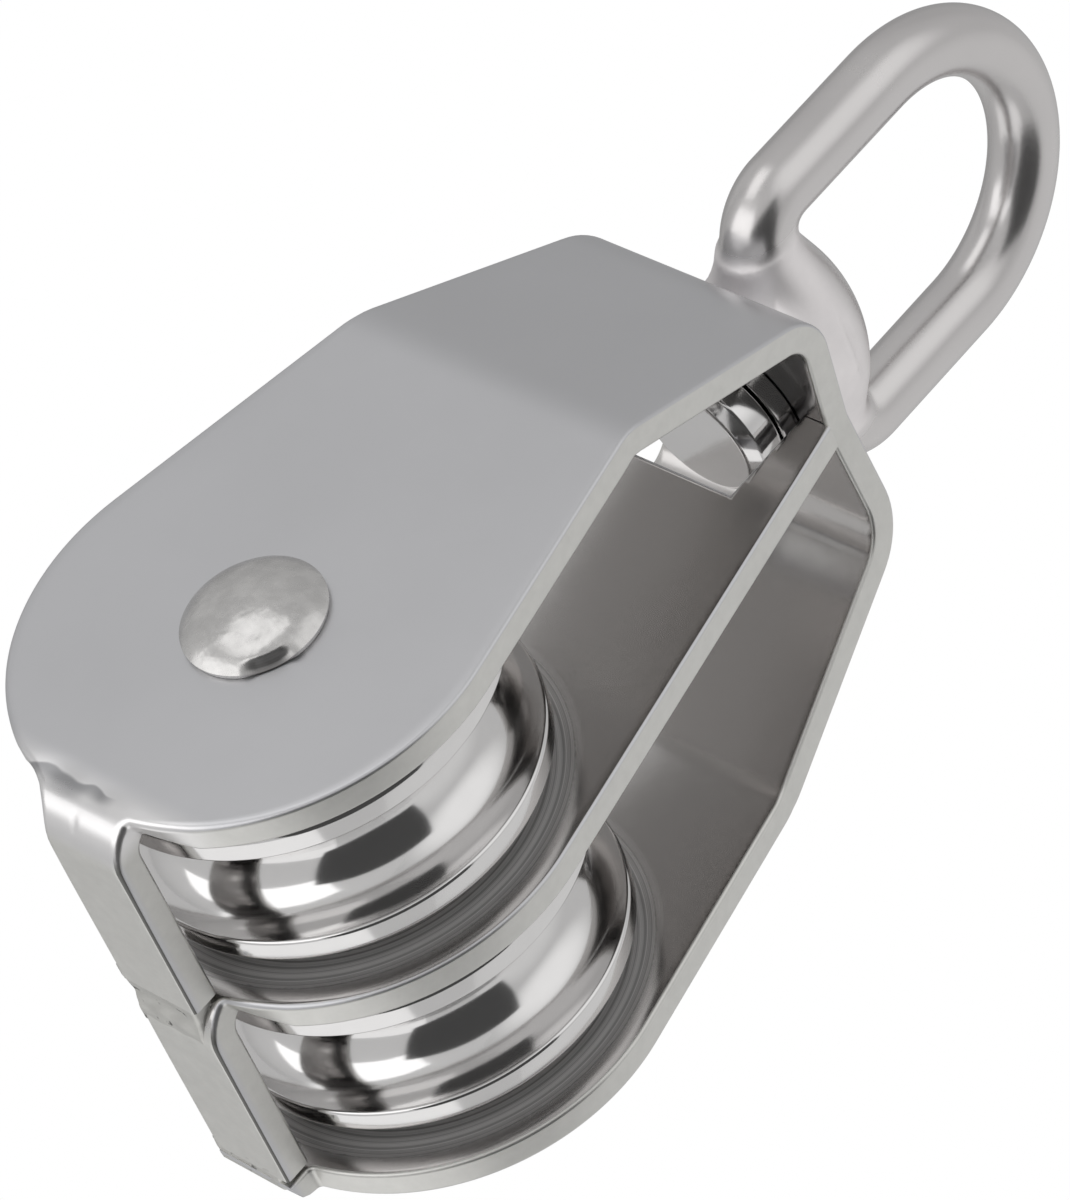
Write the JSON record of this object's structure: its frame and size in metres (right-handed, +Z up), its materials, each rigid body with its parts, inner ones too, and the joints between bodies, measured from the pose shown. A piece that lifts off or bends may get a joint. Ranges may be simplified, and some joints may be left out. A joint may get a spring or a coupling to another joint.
{
  "type": "double swivel pulley block",
  "caption": "Double-sheave swivel rope block with a swivelling cast eye, folded sheet cheeks and a riveted axle.",
  "frame": {"origin": "the point inside the top of the eye that bears on a shackle or hook", "axes": "+Z up toward the eye, along the swivel; +Y along the axle from the cheek with the bent tab to the other; +X across the cheeks, the way the rope runs"},
  "size_m": [0.0366, 0.045, 0.0996],
  "materials": {
    "sheet": "satin stainless sheet",
    "weld": "ground weld",
    "casting": "tumbled stainless casting",
    "rivet": "dull polished stainless",
    "sheave": "mirror polished stainless"
  },
  "bodies": {
    "swivel": {"swivel_eye": "casting", "swivel_washer": "sheave"},
    "block": {"cheek_shell": "sheet", "centre_plate": "sheet", "strap_weld_centre": "weld", "strap_weld_far": "weld", "axle_rivet": "rivet"},
    "near_wheel": {"near_sheave": "sheave"},
    "far_wheel": {"far_sheave": "sheave"}
  },
  "joints": [
    {"name": "swivel_turn", "type": "hinge", "parent": "swivel", "child": "block", "pos_m": [0, 0, -0.0287], "axis": [0, 0, 1], "continuous": true},
    {"name": "near_sheave_spin", "type": "hinge", "parent": "block", "child": "near_wheel", "pos_m": [0, -0.00972, -0.0742], "axis": [0, 1, 0], "continuous": true},
    {"name": "far_sheave_spin", "type": "hinge", "parent": "block", "child": "far_wheel", "pos_m": [0, 0.00972, -0.0742], "axis": [0, 1, 0], "continuous": true}
  ]
}
